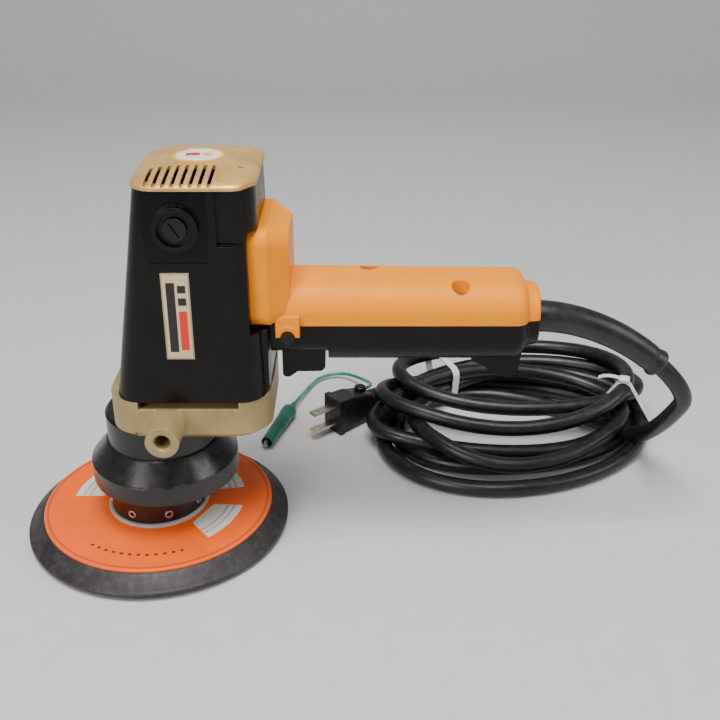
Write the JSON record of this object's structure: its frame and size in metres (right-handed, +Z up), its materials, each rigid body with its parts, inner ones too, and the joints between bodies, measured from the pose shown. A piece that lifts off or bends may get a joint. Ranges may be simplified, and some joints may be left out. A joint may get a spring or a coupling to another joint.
{
  "type": "dual action polisher",
  "caption": "Corded upright polisher with a free-spinning eccentric hook pad, side grip with trigger, coiled cord, plug and clipped earth lead.",
  "frame": {"origin": "middle of the pad's working face, on the floor the pad stands on", "axes": "+Z up the pad's axis, +X along the handle towards the cord, -Y towards the front brush cap"},
  "size_m": [0.3943, 0.2573, 0.2196],
  "materials": {
    "hook_fabric": "short stiff hooks",
    "pad_rubber": "matt, slightly dusty",
    "orange_vinyl": "satin, smooth",
    "grey_plastic": "satin",
    "hub_black": "satin black",
    "bearing_steel": "ground",
    "screw_steel": "zinc plated",
    "label_white": "printed film",
    "case_label_film": "printed metallic film",
    "machined_steel": "turned",
    "cast_weight": "as cast",
    "laminations": "stacked sheets",
    "copper": "enamelled",
    "holder_brass": "pressed",
    "carbon": "matt",
    "fan_plastic": "matt",
    "black_plastic": "fine satin grain",
    "cap_black": "satin",
    "beige_plastic": "satin metallic gold",
    "beige_paint": "satin",
    "black_enamel": "semi gloss",
    "skirt_black": "semi gloss",
    "yellow_plastic": "smooth satin",
    "boot_rubber": "matt",
    "cord_rubber": "matt",
    "tie_plastic": "flat film",
    "plug_plastic": "satin",
    "blade_metal": "nickel plated",
    "earth_sheath": "green and yellow",
    "clip_steel": "nickel plated",
    "green_rubber": "soft satin"
  },
  "bodies": {
    "machine": {"brush_caps": "cap_black", "brush_holders": "holder_brass", "carbon_brushes": "carbon", "case_label": "case_label_film", "case_screws": "screw_steel", "clip_boot": "green_rubber", "clip_fixed_jaw": "clip_steel", "clip_pin": "screw_steel", "cord_boot": "boot_rubber", "cord_clamp": "fan_plastic", "cord_coil": "cord_rubber", "cord_lead": "cord_rubber", "cord_ties": "tie_plastic", "field_coils": "copper", "gear_housing": "beige_paint", "ground_wire": "earth_sheath", "handle_lower_shell": "black_plastic", "handle_screws": "screw_steel", "handle_upper_shell": "yellow_plastic", "lower_motor_bearing": "bearing_steel", "motor_case": "black_plastic", "mount_screws": "screw_steel", "neck_collar": "black_enamel", "plug_blades": "blade_metal", "plug_body": "plug_plastic", "plug_knob": "cap_black", "plug_relief": "boot_rubber", "shroud": "skirt_black", "spindle_lower_bearing": "bearing_steel", "spindle_upper_bearing": "bearing_steel", "stator_core": "laminations", "switch_body": "fan_plastic", "top_cover": "beige_plastic", "top_label": "label_white", "trigger_spring": "screw_steel", "upper_motor_bearing": "bearing_steel"},
    "spindle": {"spindle": "machined_steel", "counterweight": "cast_weight", "counterweight_screws": "screw_steel", "pin_screw": "screw_steel", "driven_gear": "machined_steel"},
    "armature": {"armature_shaft": "machined_steel", "pinion": "machined_steel", "armature_core": "laminations", "armature_windings": "copper", "commutator": "copper", "cooling_fan": "fan_plastic"},
    "pad": {"hook_face": "hook_fabric", "pad_cushion": "pad_rubber", "pad_disc": "orange_vinyl", "hub_ring": "grey_plastic", "pad_hub": "hub_black", "pad_bearing": "bearing_steel", "hub_snap_ring": "screw_steel", "pad_stud": "screw_steel", "pad_marks": "label_white"},
    "trigger": {"trigger": "black_plastic"},
    "lock_button": {"lock_button": "cap_black"},
    "clip_jaw": {"clip_moving_jaw": "clip_steel"}
  },
  "joints": [
    {"name": "spindle_spin", "type": "hinge", "parent": "machine", "child": "spindle", "pos_m": [0.0065, 0, 0.05], "axis": [0, 0, 1], "continuous": true},
    {"name": "armature_spin", "type": "hinge", "parent": "machine", "child": "armature", "pos_m": [0.0295, 0, 0.14], "axis": [0, 0, 1], "continuous": true},
    {"name": "pad_spin", "type": "hinge", "parent": "spindle", "child": "pad", "pos_m": [0, 0, 0.02], "axis": [0, 0, 1], "continuous": true},
    {"name": "trigger_squeeze", "type": "slide", "parent": "machine", "child": "trigger", "axis": [0, 0, 1], "range_m": [0, 0.005], "stiffness_N_per_m": 900, "springref_m": -0.004, "deforming": ["trigger_spring"]},
    {"name": "lock_press", "type": "slide", "parent": "machine", "child": "lock_button", "axis": [0, 1, 0], "range_m": [0, 0.002], "stiffness_N_per_m": 600, "springref_m": -0.002},
    {"name": "clip_open", "type": "hinge", "parent": "machine", "child": "clip_jaw", "pos_m": [0.06402, 0.10077, 0.0054], "axis": [0, 0, 1], "range_deg": [0, 10], "stiffness_Nm_per_rad": 0.25, "springref_deg": -11.46, "deforming": ["clip_boot"]}
  ],
  "couplings": [
    {"joint": "armature_spin", "follows": "spindle_spin", "ratio": -4.1111}
  ]
}
